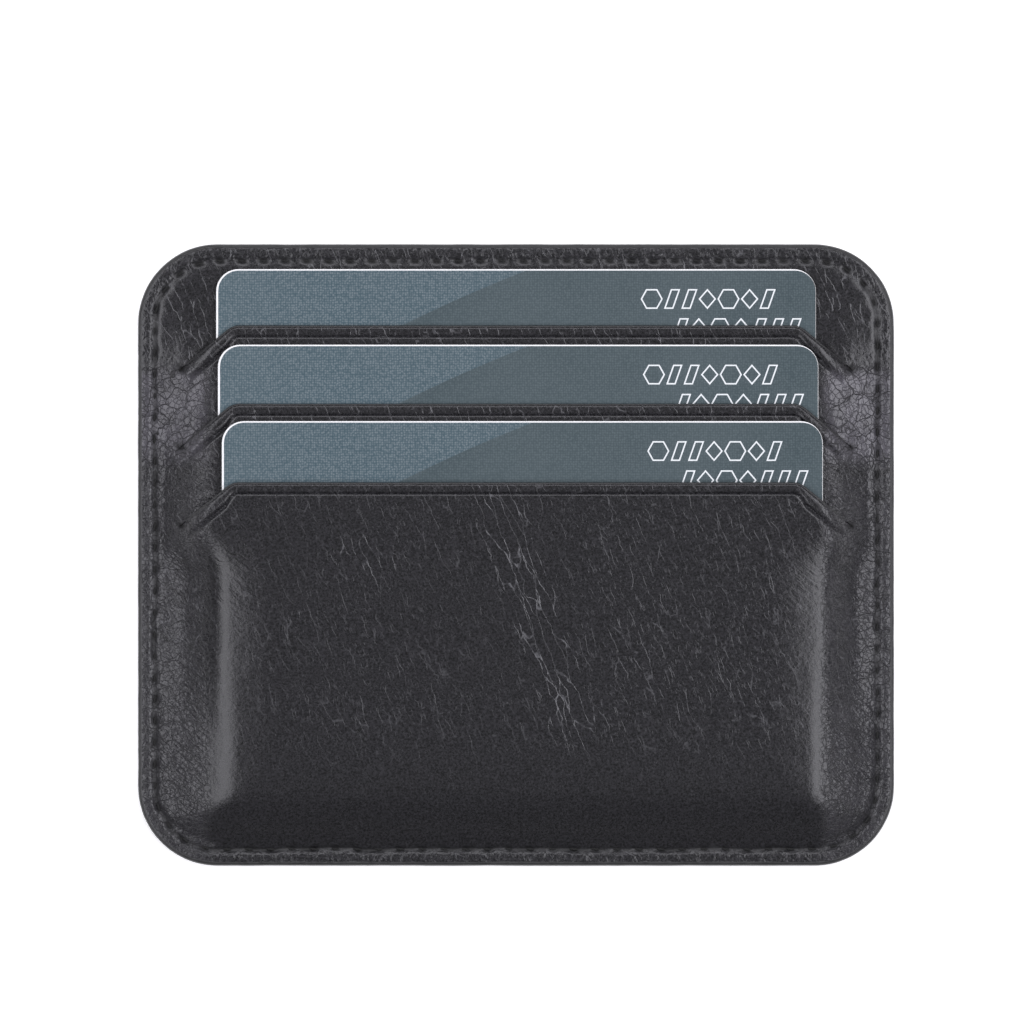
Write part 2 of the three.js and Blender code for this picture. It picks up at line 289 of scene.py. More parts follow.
def side_rise(depth, y, wall, slope_width):
    """A gentle foot, a steep wall and a broad shoulder above, and one even slope lower down."""
    start, width, shoulder_start = wall
    foot = np.interp(depth / RAMP_WIDTH, PROFILE_T, RAMP_PROFILE)
    steep = np.interp((depth - start) / width, PROFILE_T, WALL_PROFILE)
    shoulder = np.interp((depth - shoulder_start) / SHOULDER_WIDTH, PROFILE_T, SHOULDER_PROFILE)
    upper = RAMP_PART * foot + (1 - RAMP_PART - SHOULDER_PART) * steep + SHOULDER_PART * shoulder
    even = np.interp(depth / slope_width, PROFILE_T, SLOPE_PROFILE)
    lower = (1 - SHOULDER_SHARE_BELOW) * even + SHOULDER_SHARE_BELOW * shoulder
    return upper + (lower - upper) * smooth((-8 - y) / 22)


def side_share(x, y):
    """How far the leather has risen between the seam (0) and its level over the cards (1)."""
    left = side_rise(x + HALF_WIDTH - FOOT_INSET, y, LEFT_WALL, LEFT_SLOPE)
    right = side_rise(HALF_WIDTH - FOOT_INSET - x, y, RIGHT_WALL, RIGHT_SLOPE)
    across = 1 - np.minimum(left, right)
    down = 1 - np.interp((y + HALF_HEIGHT - FOOT_INSET) / LOWER_SHOULDER, PROFILE_T, LOWER_PROFILE)
    return 1 - np.clip((across**CORNER_POWER + down**CORNER_POWER) ** (1 / CORNER_POWER), 0, 1)


def margin_level(y):
    """Level that the side margins climb to, where the leather runs past the ends of the slots."""
    first_end = FIRST_LIP_Y - LIP_DROP
    climb = 0.9 + 0.157 * (first_end - y)
    full = region_level(SLOTS, np.minimum(y, SLOT_END_Y))
    return np.minimum(np.log1p(np.exp(2.2 * climb)) / 2.2, full)


def margin_rise(x):
    return np.interp((HALF_WIDTH - FOOT_INSET - np.abs(x)) / MARGIN_SHOULDER, PROFILE_T, MARGIN_PROFILE)


def leather_base(region, x, y):
    """Height of the front face before creases and grain."""
    share = side_share(x, y)
    level = region_level(region, y)
    margin = margin_level(y) * margin_rise(x) * np.minimum(1, share * 40)
    mouth = margin + (level - margin) * smooth((SLOT_HALF - np.abs(x)) / 4.8)
    if region < SLOTS:
        return RIM_TOP + mouth
    near_slot = smooth((y - SLOT_END_Y + 7.5) / 7.5)
    return RIM_TOP + level * share + (mouth - level * share) * near_slot


def lip_detail(region, x, y):
    """Rounded edge of the lip and the creased line that runs along it."""
    if region == 0:
        return np.zeros_like(x)
    down = (lip_y(region - 1, x) - y) / lip_stretch(x)
    slant = lip_slant(x)
    on_lip = smooth((SLOT_HALF - 0.2 - np.abs(x)) / 0.8)
    crease_end = smooth((CREASE_END - np.abs(x)) / 0.4)
    edge = -0.2 * np.clip(1 - down / 0.34, 0, 1) ** 2 * on_lip
    below = down - CREASE - 0.45 * slant
    crease = -(0.2 + 0.14 * slant) * np.exp(-((below / (0.14 + 0.1 * slant)) ** 2)) * crease_end
    swell = 0.05 * np.exp(-(((below - 0.62) / 0.35) ** 2)) * crease_end
    from_strip = (down - 0.65 - 0.25 * slant) / (0.42 + 0.2 * slant)
    strip = (0.04 + 0.12 * slant) * np.exp(-(from_strip**2)) * on_lip
    return edge + crease + swell + strip


def slit_end(x, y):
    """Closeness to the small pits where the slits stop."""
    near = np.zeros_like(x)
    for slot in range(SLOTS):
        end_y = FIRST_LIP_Y - slot * SLOT_PITCH - LIP_DROP
        away = np.hypot((np.abs(x) - SLOT_HALF + 0.15) / 0.55, (y - end_y - 0.1) / 0.42)
        near = np.maximum(near, np.exp(-(away**2)))
    return near


def seam_place(x, y):
    """Distance along the seam, in stitches, of points near it."""
    tree = KDTree(len(PATH))
    line = PATH - NORMALS * SEAM_INSET
    for i, point in enumerate(line):
        tree.insert((point[0], point[1], 0), i)
    tree.balance()
    near = np.array([tree.find((a, b, 0))[1] for a, b in zip(x, y)], int)
    offset = np.stack([x, y], 1) - line[near]
    tangent = np.stack([-NORMALS[near][:, 1], NORMALS[near][:, 0]], 1)
    return (SEAM_S[near] + (offset * tangent).sum(1)) / STITCH


rng = np.random.RandomState(11)
STITCH_PULL = rng.uniform(0.7, 1.3, STITCHES + 2)
STITCH_SWELL = rng.uniform(0.3, 1.5, (2, STITCHES + 2))


def seam_detail(x, y):
    """The pressed groove with a pit at each needle hole and the leather puckered beside each
    stitch, and how deep in shadow each point lies."""
    inset = outline_inset(x, y)
    height, shadow = np.zeros_like(x), np.zeros_like(x)
    near = inset < 6.5
    if not near.any():
        return height, shadow
    place = seam_place(x[near], y[near])
    across = inset[near] - SEAM_INSET
    upper_edge = smooth((y[near] - HALF_HEIGHT + 8) / 3)
    across = across + 0.16 * lattice_noise(place, 0 * place, 0.7, 17) * (1 - upper_edge)
    hole = np.round(place)
    from_hole = (place - hole) * STITCH + 0.5 * across
    pull = STITCH_PULL[hole.astype(int) % STITCHES]
    mark = np.exp(-((from_hole / 0.66) ** 4)) * np.exp(-((across / 0.34) ** 2))
    line = np.exp(-((across / 0.3) ** 2))
    uneven = 0.65 + 0.35 * lattice_noise(place, 0 * place, 0.45, 23)
    pit = -0.3 * pull * mark * (0.7 + 0.3 * upper_edge)
    groove = -(0.22 - 0.19 * upper_edge) * line * uneven
    middle = np.cos(math.pi * (place - np.floor(place) - 0.5)) ** 2
    side = (across > 0).astype(int)
    swell = STITCH_SWELL[side, np.floor(place).astype(int) % STITCHES]
    pucker = 0.085 * swell * middle * np.exp(-(((np.abs(across) - 0.75) / 0.5) ** 2))
    height[near] = pit + groove + pucker * (1 - 0.7 * upper_edge)
    shadow[near] = np.maximum(mark * (0.8 + 0.2 * upper_edge), 0.75 * line * uneven * (1 - upper_edge))
    return height, shadow


def flange_dome(x, y):
    """The flange is crowned between the outer edge and the seam, which draws the leather down."""
    inset = outline_inset(x, y)
    crown = np.clip(np.abs(inset - 1.15) / 0.95, 0, 1) ** 2
    beyond = smooth((inset - SEAM_INSET) / 1.5)
    return -SEAM_SINK * np.where(inset < SEAM_INSET, crown, 1 - beyond)


def soft_waves(x, y, flatness):
    """Slow unevenness of the leather, stronger in the margins than over the cards."""
    slow = 0.10 * layered_noise(x, y, 9.0, 31)
    lumps = 0.05 * layered_noise(x, y, 2.6, 57)
    return (slow * 0.5 + lumps) * (1 - flatness) + slow * 0.35 * flatness


def front_height(region, x, y):
    """Height of the front face in a region, from 0 above the first slot to 3 below the last."""
    inset = outline_inset(x, y)
    share = side_share(x, y)
    rim = smooth((inset - LEATHER_INSET) / 0.7)
    height = leather_base(region, x, y)
    height = height + lip_detail(region, x, y) + seam_detail(x, y)[0] + flange_dome(x, y)
    height = height - 0.55 * slit_end(x, y)
    covered = smooth((share - 0.75) / 0.25)
    height = height + soft_waves(x, y, covered) * rim * (0.25 if region == 0 else 1.0)
    rounding = np.clip(1 - (inset - LEATHER_INSET) / 0.4, 0, 1)
    return height - 0.12 * rounding**2


# ---- Meshes ----


def in_scene(name, data):
    made = bpy.data.objects.new(name, data)
    bpy.context.scene.collection.objects.link(made)
    return made


def make_object(name, vertices, faces, material, body="holder", sharp_angle=None):
    """A mesh piece that rides on a body, shaded smooth but for edges sharper than an angle."""
    mesh = bpy.data.meshes.new(name)
    mesh.from_pydata((np.asarray(vertices) * MM).tolist(), [], [list(map(int, f)) for f in faces])
    mesh.validate()
    mesh.update()
    mesh.materials.append(material)
    if sharp_angle is not None:
        mesh.polygons.foreach_set("use_smooth", np.ones(len(mesh.polygons), bool))
        mesh.set_sharp_from_angle(angle=math.radians(sharp_angle))
    obj = in_scene(name, mesh)
    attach(obj, body)
    return obj


def lift(points, z):
    return np.column_stack([points, np.full(len(points), z)])


def ring_faces(count, rings, start=0, closed=False):
    """Quads between rings of count points each. A closed sweep also joins the last to the first."""
    faces = []
    for p in range(rings if closed else rings - 1):
        low, high = start + p * count, start + (p + 1) % rings * count
        faces += [(low + i, low + (i + 1) % count, high + (i + 1) % count, high + i) for i in range(count)]
    return faces


def stacked(rings, start=0):
    """Faces of a closed solid through rings of points, from the bottom ring up.

    Seen from the last ring, each ring runs counter-clockwise, so that every face points outwards.
    """
    count, last = len(rings[0]), start + (len(rings) - 1) * len(rings[0])
    bottom, top = tuple(range(start + count - 1, start - 1, -1)), tuple(range(last, last + count))
    return [bottom, *ring_faces(count, len(rings), start), top]


def closed_sheet(upper_faces, lower_faces, offset):
    """An upper side, a lower side whose points start at an offset, and the wall between them."""
    count = len(PATH)
    lower = [tuple(offset + i for i in reversed(face)) for face in lower_faces]
    wall = [(i, offset + i, offset + (i + 1) % count, (i + 1) % count) for i in range(count)]
    return upper_faces + lower + wall


def point_attribute(obj, name, values):
    attribute = obj.data.attributes.new(name, "FLOAT", "POINT")
    attribute.data.foreach_set("value", np.asarray(values, np.float32))


def vector_attribute(obj, name, values):
    attribute = obj.data.attributes.new(name, "FLOAT_VECTOR", "POINT")
    attribute.data.foreach_set("vector", np.asarray(values, np.float32).ravel())


def hex_points(half_width, half_height, spacing):
    rows = np.arange(-half_height, half_height, spacing * 0.866)
    points = []
    for i, y in enumerate(rows):
        xs = np.arange(-half_width + (i % 2) * spacing / 2, half_width, spacing)
        points.append(np.stack([xs, np.full_like(xs, y)], 1))
    return np.concatenate(points)


def keep_clear(candidates, taken, distance):
    """The candidate points that lie further than a distance from every taken point."""
    tree = KDTree(len(taken))
    for i, (x, y) in enumerate(taken):
        tree.insert((x, y, 0), i)
    tree.balance()
    far = [tree.find((x, y, 0))[2] > distance for x, y in candidates]
    return candidates[np.array(far)]


BAND_INSETS_FINE = [LEATHER_INSET, 0.28, 0.4, 0.6, 0.85, 1.15, 1.45, 1.7, 1.9, 2.05, 2.18, 2.29, 2.4,
                    2.51, 2.62, 2.75, 2.95, 3.25, 3.6, 3.95, 4.3]
BAND_INSETS_COARSE = [LEATHER_INSET, 1.3, 2.4, 4.3]
INNER_INSET = 4.3
LIP_ROWS_FINE = [0.07, 0.15, 0.25, 0.38, 0.56, 0.78, 1.0, 1.16, 1.28, 1.4, 1.52, 1.64, 1.78, 1.92,
                 2.1, 2.5]
SLIT_X = np.concatenate([np.linspace(-SLOT_HALF, -LIP_HALF + 2, 34)[:-1],
                         np.linspace(-LIP_HALF + 2, LIP_HALF - 2, 130)[:-1],
                         np.linspace(LIP_HALF - 2, SLOT_HALF, 34)])


def flat_sheet(insets, spacing, lip_rows, slots):
    """The front panel cut flat: its points, its triangles and the points along each slit.

    A slit's inner points are doubled, so its two sides are free of each other. Each slit comes back
    as the numbers of the points along its lower side and along its upper side.
    """
    count = len(PATH)
    band = [PATH - NORMALS * inset for inset in insets]
    faces = ring_faces(count, len(insets))
    band_points = np.concatenate(band)
    inner_start = (len(insets) - 1) * count
    inner_ring = band[-1]

    slits = [np.stack([SLIT_X, lip_y(slot, SLIT_X)], 1) for slot in range(slots)]
    rows = []
    for slot in range(slots):
        for offset in lip_rows:
            xs = SLIT_X[1:-1]
            shift = 0.45 * lip_slant(xs) * np.clip((offset - 0.5) / 0.6, 0, 1)
            y = lip_y(slot, xs) - (offset + shift) * lip_stretch(xs)
            keep = np.abs(xs) < SLOT_HALF - 0.35 - 0.3 * offset
            rows.append(np.stack([xs[keep], y[keep]], 1))
        above = SLIT_X[2:-2]
        rows.append(np.stack([above, lip_y(slot, above) + 0.4], 1))
    fixed = np.concatenate([inner_ring, *slits, *rows]) if slots else inner_ring
    fill = hex_points(HALF_WIDTH, HALF_HEIGHT, spacing)
    fill = fill[outline_inset(*fill.T) > INNER_INSET + 0.35 * spacing]
    fill = keep_clear(fill, fixed, 0.55 * min(spacing, 0.62))
    points = np.concatenate([fixed, fill])
    edges = []
    start = count
    slit_ids = []
    for slit in slits:
        ids = list(range(start, start + len(slit)))
        edges += list(zip(ids[:-1], ids[1:]))
        slit_ids.append(ids)
        start += len(slit)
    made = delaunay_2d_cdt([Vector(p) for p in points], edges, [list(range(count))], 1, 1e-7)
    coords, origins = np.array([tuple(v) for v in made[0]]), made[3]
    to_new = {old: new for new, olds in enumerate(origins) for old in olds}

    # New numbers: the band's points first, its inner ring standing in for the fill's outer ring.
    number = np.full(len(coords), -1)
    for i in range(count):
        number[to_new[i]] = inner_start + i
    free = np.where(number < 0)[0]
    number[free] = len(band_points) + np.arange(len(free))
    all_points = np.concatenate([band_points, coords[free]])
    triangles = np.array([[number[i] for i in f] for f in made[2]])

    sides = []
    for slot, ids in enumerate(slit_ids):
        chain = [int(number[to_new[i]]) for i in ids]
        centre = all_points[triangles].mean(1)
        above = centre[:, 1] > lip_y(slot, centre[:, 0])
        upper_of = {old: len(all_points) + i for i, old in enumerate(chain[1:-1])}
        hit = np.isin(triangles, chain[1:-1]) & above[:, None]
        for row, column in zip(*np.where(hit)):
            triangles[row, column] = upper_of[int(triangles[row, column])]
        sides.append((chain, [chain[0]] + [upper_of[i] for i in chain[1:-1]] + [chain[-1]]))
        all_points = np.concatenate([all_points, all_points[chain[1:-1]]])
    return all_points, faces + [tuple(t) for t in triangles], sides


def regions_of(points, sides):
    """Region of each point, from 0 above the first slot."""
    region = np.zeros(len(points), int)
    for slot in range(SLOTS):
        region += points[:, 1] < lip_y(slot, points[:, 0]) + 1e-6
    for slot, (lower, upper) in enumerate(sides):
        region[lower] = slot + 1
        region[upper[1:-1]] = slot
    return region


def tuck_under(points, region):
    """Moves the leather just above each slit down behind the lip, where a card lies between."""
    moved = points.copy()
    for slot in range(SLOTS):
        above = (points[:, 1] - lip_y(slot, points[:, 0])) / TUCK_REACH
        pull = smooth(1 - above) * (region == slot) * (above > -0.05)
        fade = smooth((TUCK_END - np.abs(points[:, 0])) / 4.5)
        moved[:, 1] += pull * (SLIT_OPENING - (TUCK + SLIT_OPENING) * fade)
    return moved


def heights_at(points, region, height):
    z = np.zeros(len(points))
    for r in range(SLOTS + 1):
        here = region == r
        if here.any():
            z[here] = height(r, points[here, 0], points[here, 1])
    return z


def front_underside(region, x, y):
    """Underside of the front leather: its thickness below the face, but never inside a card."""
    step = 0.3
    face = leather_base(region, x, y)
    dx = (leather_base(region, x + step, y) - leather_base(region, x - step, y)) / (2 * step)
    dy = (leather_base(region, x, y + step) - leather_base(region, x, y - step)) / (2 * step)
    under = face - LEATHER * np.sqrt(1 + dx**2 + dy**2)
    if region > 0:
        low, high = box_mm(f"{CARDS[region - 1]}_card")
        reach = (x > low[0] - 0.3) & (x < high[0] + 0.3) & (y > low[1] - 0.3)
        card = card_underside(region - 1, y) + CARD_THICKNESS + 0.04
        under = np.where(reach, np.maximum(under, card), under)
    return np.minimum(np.maximum(under, FRONT_BOTTOM), face - 0.3)


HAIR_BAND = (-3.6, 9.5), (8.5, -24.5)
HAIR_PATCH = (-21.5, -0.5)
HAIR_RIGHT = (29, -13)
MARGIN_HAIR = 0.8
MARGIN_FOLDS = 42.3


def segment_distance(x, y, start, end):
    ax, ay = end[0] - start[0], end[1] - start[1]
    t = np.clip(((x - start[0]) * ax + (y - start[1]) * ay) / (ax * ax + ay * ay), 0, 1)
    return np.hypot(x - start[0] - t * ax, y - start[1] - t * ay)


def hair_mask(x, y, region):
    """Where the leather carries fine pale crackle lines: a slanting band, a patch and a faint rest."""
    band = 1 - smooth((segment_distance(x, y, *HAIR_BAND) - 2.0) / 3.2)
    patch = 1 - smooth((np.hypot((x - HAIR_PATCH[0]) / 1.3, y - HAIR_PATCH[1]) - 2.2) / 3)
    right = np.hypot((x - HAIR_RIGHT[0]) / 0.8, (y - HAIR_RIGHT[1]) / 2.2)
    right = 0.45 * (1 - smooth((right - 4) / 5))
    rest = 0.36 + 0.16 * layered_noise(x, y, 11.0, 201) + 0.16 * smooth((x - 6) / 10)
    mask = np.maximum(np.maximum(band, 0.9 * patch), np.maximum(right, rest))
    lower = smooth((y + 34) / 12)
    foot = smooth((np.abs(x) - 44) / 1.5) * smooth((6 - y) / 5) * smooth((y + 30) / 12)
    mask = np.maximum(mask * (0.25 + 0.75 * lower), 0.8 * foot)
    return np.where(region == SLOTS, mask, MARGIN_HAIR)


def fold_mask(x, y, region):
    """Where the leather is drawn into close parallel wrinkles: beside the lower slots' corners."""
    side = smooth((np.abs(x) - MARGIN_FOLDS) / 1.2) * smooth((50.5 - np.abs(x)) / 2)
    third = side * smooth((16 - y) / 2.5) * smooth((y - 3) / 3) * (region == 2)
    ridge = smooth((np.abs(x) - 36) / 4) * smooth((44.5 - np.abs(x)) / 2) * (region == SLOTS)
    ridge = ridge * smooth((5 - y) / 3) * smooth((y + 11) / 6)
    foot = smooth((np.abs(x) - 43.2) / 1.8) * smooth((51.2 - np.abs(x)) / 1.2) * (region == SLOTS)
    foot = foot * smooth((7 - y) / 5) * smooth((y + 40) / 9)
    return np.maximum(third, np.maximum(0.2 * ridge, 0.55 * foot))


def build_front_panel(material):
    """The front leather: its face and its underside, each cut by the slits, joined along every edge."""
    top, top_faces, top_sides = flat_sheet(BAND_INSETS_FINE, 0.56, LIP_ROWS_FINE, SLOTS)
    top_region = regions_of(top, top_sides)
    low, low_faces, low_sides = flat_sheet(BAND_INSETS_COARSE, 1.7, [0.9], SLOTS)
    low_region = regions_of(low, low_sides)
    top_moved = tuck_under(top, top_region)
    low_moved = tuck_under(low, low_region)
    top_z = heights_at(top_moved, top_region, front_height)
    low_z = heights_at(low_moved, low_region, front_underside)

    offset = len(top)
    vertices = np.concatenate([np.column_stack([top_moved, top_z]), np.column_stack([low_moved, low_z])])
    faces = closed_sheet(top_faces, low_faces, offset)
    for (lower, upper), (lower_b, upper_b) in zip(top_sides, low_sides):
        for i in range(len(lower) - 1):
            faces.append((lower[i], lower[i + 1], offset + lower_b[i + 1], offset + lower_b[i]))
            faces.append((upper[i + 1], upper[i], offset + upper_b[i], offset + upper_b[i + 1]))
    panel = make_object("front_leather", vertices, faces, material, sharp_angle=50)
    x, y = np.concatenate([top, low]).T
    region = np.concatenate([top_region, low_region])
    side = smooth((np.abs(x) - 42.5) / 2.5)
    # Mask of the side margins that carry cracks and painted sheen; the left side gets 0.85 of it, so its
    # painted sheen is weaker than on the right.
    cracks_and_sheen = side * smooth((28 - y) / 3) * smooth((y - 11) / 4)
    cracks_and_sheen = np.maximum(cracks_and_sheen, 0.42 * side * smooth((14 - y) / 6)) * np.where(x < 0, 0.85, 1.0)
    point_attribute(panel, "cracks_and_sheen", cracks_and_sheen)
    rim = smooth((2.6 - outline_inset(x, y)) / 0.5)
    pebbled = side * smooth((32 - y) / 9) * (0.6 + 0.4 * smooth((y + 2) / 8))
    point_attribute(panel, "pebbled", np.maximum(pebbled, 0.7 * rim))
    point_attribute(panel, "folded", fold_mask(x, y, region))
    point_attribute(panel, "hair", hair_mask(x, y, region))
    shadow = np.maximum(slit_end(x, y), seam_detail(x, y)[1])
    point_attribute(panel, "shade", np.clip(shadow, 0, 1))
    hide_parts("front_panel")


BEAD_INSET = 0.02
BEAD_ROUND = 0.55
MOUTH_DEPTH = 1.2


def build_edge(material):
    """The painted bead: full in the middle, a little uneven, with the note pocket's mouth on top."""
    x, y = PATH.T
    wobble = 0.035 * layered_noise(x + 2 * y, y - x, 5.0, 71)
    mouth_half = HALF_WIDTH - CORNER_RADIUS
    mouth = smooth((mouth_half - np.abs(x)) / 1.2) * (y > 0)
    low_z, high_z = 0.03, RIM_TOP - 0.02
    middle = (low_z + high_z) / 2
    gap_low, gap_high = BACK_TOP + 0.22, BACK_TOP + 0.4
    insets, heights = [], []

    def add(inset, height):
        insets.append(np.broadcast_to(inset, x.shape))
        heights.append(np.broadcast_to(height, x.shape))

    def quarter_turn(first, centre, tall):
        for angle in first + np.linspace(0, math.pi / 2, 10):
            add(BEAD_INSET + 0.5 * (1 - math.cos(angle)) ** 0.8 + wobble * math.cos(angle),
                centre + tall * math.sin(angle))

    quarter_turn(-math.pi / 2, BEAD_ROUND, BEAD_ROUND - low_z)
    for deep, height in ((0, gap_low - 0.06), (0.05, gap_low), (MOUTH_DEPTH, gap_low + 0.04 * mouth),
                         (MOUTH_DEPTH, gap_high - 0.04 * mouth), (0.05, gap_high), (0, gap_high + 0.06)):
        add(BEAD_INSET + wobble + deep * mouth, height)
    quarter_turn(0, high_z - BEAD_ROUND, BEAD_ROUND)
    add(0.75, high_z - 0.12)
    add(1.25, middle)
    add(0.75, low_z + 0.12)
    vertices = [np.column_stack([PATH - NORMALS * inset[:, None], z]) for inset, z in zip(insets, heights)]
    faces = ring_faces(len(PATH), len(insets), closed=True)
    bead = make_object("edge_bead", np.concatenate(vertices), faces, material, sharp_angle=60)
    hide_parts("painted_edge")


def tube(points, radii, sides):
    """Vertices and faces of a closed tube along points, with a radius at each."""
    points = np.asarray(points, float)
    tangent = np.gradient(points, axis=0)
    tangent /= np.linalg.norm(tangent, axis=1)[:, None]
    up = np.array([0.0, 0.0, 1.0])
    across = np.cross(tangent, up)
    across /= np.linalg.norm(across, axis=1)[:, None]
    over = np.cross(tangent, across)
    angle = 2 * math.pi * np.arange(sides) / sides
    round_it = np.cos(angle)[None, :, None] * across[:, None] + np.sin(angle)[None, :, None] * over[:, None]
    rings = points[:, None] + np.asarray(radii)[:, None, None] * round_it
    return rings.reshape(-1, 3), stacked(rings)


def seam_point(place):
    """The point on the seam line that lies a number of stitches along it."""
    s = (place * STITCH) % SEAM_LENGTH
    line = PATH - NORMALS * SEAM_INSET
    lengths = np.append(SEAM_S, SEAM_LENGTH)
    closed = np.vstack([line, line[:1]])
    return np.array([np.interp(s, lengths, closed[:, 0]), np.interp(s, lengths, closed[:, 1])])


THREAD_RADIUS = 0.2
THREAD_DEPTH = 0.62
THREAD_RISE = 0.36
THREAD_SLANT = 0.16


def build_stitches(name, node, surface, sign, material):
    """One sunk arc of thread for each stitch, from needle hole to needle hole."""
    vertices, faces = [], []
    for stitch in range(STITCHES):
        start, end = seam_point(stitch - STITCH_SHOWN / 2), seam_point(stitch + STITCH_SHOWN / 2)
        along = end - start
        square = np.array([along[1], -along[0]]) / np.linalg.norm(along)
        points, radii = [], []
        for t in np.linspace(0.0, 1.0, 9):
            arch = math.sin(math.pi * t)
            place = start + along * t + square * THREAD_SLANT * (t - 0.5)
            height = THREAD_RISE * arch**0.6 - THREAD_DEPTH
            points.append((place[0], place[1], surface + sign * height))
            radii.append(THREAD_RADIUS * (0.75 + 0.25 * arch))
        made, made_faces = tube(points, radii, 7)
        base = len(vertices)
        vertices += list(made)
        faces += [tuple(base + i for i in f) for f in made_faces]
    seam = make_object(name, vertices, faces, material, sharp_angle=60)
    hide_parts(node)


def build_back_panel(material):
    """The back leather, flat on its face, with a rounded edge and the seam's groove."""
    outer, outer_faces, _ = flat_sheet(BAND_INSETS_FINE, 2.2, [], 0)
    inner, inner_faces, _ = flat_sheet(BAND_INSETS_COARSE, 4.0, [], 0)
    x, y = outer.T
    inset = outline_inset(x, y)
    rounding = 0.2 * np.clip(1 - (inset - LEATHER_INSET) / 0.5, 0, 1) ** 2
    pressed, shadow = seam_detail(x, y)
    groove = -pressed.clip(None, 0)
    ripple = 0.04 * (1 + layered_noise(x, y, 7.0, 91)) * smooth((inset - 2.8) / 3)
    face_z = 0.005 + rounding + groove + ripple
    vertices = np.concatenate([np.column_stack([outer, face_z]), lift(inner, BACK_TOP)])
    faces = [tuple(reversed(face)) for face in closed_sheet(outer_faces, inner_faces, len(outer))]
    panel = make_object("back_leather", vertices, faces, material, sharp_angle=50)
    for name, value in (("cracks_and_sheen", 0.0), ("pebbled", 0.0), ("folded", 0.0), ("hair", 0.35)):
        point_attribute(panel, name, np.full(len(vertices), value))
    point_attribute(panel, "shade", np.concatenate([shadow, np.zeros(len(inner))]))
    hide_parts("back_panel")


LIP_PROFILE = ((-0.1, -0.7), (0.1, -0.68), (0.16, -0.5), (0.16, -0.2), (0.12, -0.04), (0.02, 0.045),
               (-0.14, 0.05))


def build_lip_paint(slot, node, material):
    """Painted bead on the cut edge of a lip."""
    xs = SLIT_X[np.abs(SLIT_X) < LIP_PAINT_END]
    y = lip_y(slot, xs)
    z = front_height(slot + 1, xs, y)
    fade = smooth((LIP_PAINT_END + 0.2 - np.abs(xs)) / 1.2)
    height = 0.62 * fade + 0.05
    stretch = lip_stretch(xs)
    wobble = 1 + 0.12 * layered_noise(xs, y, 3.0, 83 + slot)
    lines = []
    for out, up in LIP_PROFILE:
        scale = height / 0.67 if up < 0 else fade
        lines.append(np.column_stack([xs, y + out * stretch * wobble, z + up * scale]))
    rings = np.stack(lines, 1)
    name = node.replace("paint", "edge")
    bead = make_object(name, rings.reshape(-1, 3), stacked(rings), material, sharp_angle=60)
    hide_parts(node)


# ---- Cards ----


def rounded_loop(x0, x1, y0, y1, radius, steps=10):
    points = []
    for quarter, (cx, cy) in enumerate([(x1, y1), (x0, y1), (x0, y0), (x1, y0)]):
        sx = cx - radius if cx == x1 else cx + radius
        sy = cy - radius if cy == y1 else cy + radius
        for i in range(steps + 1):
            angle = (quarter + i / steps) * math.pi / 2
            points.append((sx + radius * math.cos(angle), sy + radius * math.sin(angle)))
    return np.array(points)


def card_frame(card):
    """A card's name, its left and right, and a function from the card's plane to the row frame."""
    name = CARDS[card]
    low, high = box_mm(f"{name}_card")
    zero, slope = PLANES[card]
    cosine = 1 / math.hypot(1, slope)
    top_y = high[1]

    def place(points):
        """From card millimetres (x, distance below the top edge as negative y, height) to the row."""
        p = np.asarray(points, float)
        y = top_y + p[:, 1] * cosine - p[:, 2] * slope * cosine
        z = zero + slope * top_y + p[:, 1] * slope * cosine + p[:, 2] * cosine
        return np.column_stack([p[:, 0], y, z])

    return name, float(low[0]), float(high[0]), place


def build_card(card, body_material, face_material, back_material):
    name, left, right, place = card_frame(card)
    rings = []
    edge = [(0.1, 0.0), (0.03, 0.04), (0.0, 0.1)]
    for inset, z in edge + [(inset, CARD_THICKNESS - z) for inset, z in reversed(edge)]:
        loop = rounded_loop(left + inset, right - inset, -CARD_HEIGHT + inset, -inset, CARD_RADIUS - inset)
        rings.append(lift(loop, z))
    print_loop = rounded_loop(left + 0.3, right - 0.06, -CARD_HEIGHT + 0.2, -0.2, CARD_RADIUS - 0.25)
    rings.append(lift(print_loop, CARD_THICKNESS))
    flat = np.concatenate(rings)
    faces = stacked(rings)
    body = f"{name}_card_body"
    obj = make_object(body, place(flat), faces, body_material, body, sharp_angle=30)
    obj.data.materials.append(face_material)
    obj.data.materials.append(back_material)
    obj.data.polygons[0].material_index = 2
    obj.data.polygons[len(faces) - 1].material_index = 1
    centre = (left + right) / 2
    vector_attribute(obj, "card_mm", np.column_stack([flat[:, 0] - centre, flat[:, 1], flat[:, 2]]))
    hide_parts(f"{name}_card")


def outline_strokes(loops, width):
    """Closed flat strokes of one width along loops of points, as vertices and faces."""
    vertices, faces = [], []
    for loop in loops:
        loop = np.asarray(loop, float)
        ahead = np.roll(loop, -1, 0) - loop
        ahead /= np.linalg.norm(ahead, axis=1)[:, None]
        behind = np.roll(ahead, 1, 0)
        square = lambda v: np.stack([-v[:, 1], v[:, 0]], 1)
        mitre = square(ahead) + square(behind)
        mitre /= (mitre * square(ahead)).sum(1)[:, None]
        inner, outer = loop + mitre * width / 2, loop - mitre * width / 2
        faces += ring_faces(len(loop), 2, len(vertices))
        vertices += list(outer) + list(inner)
    return np.array(vertices), faces


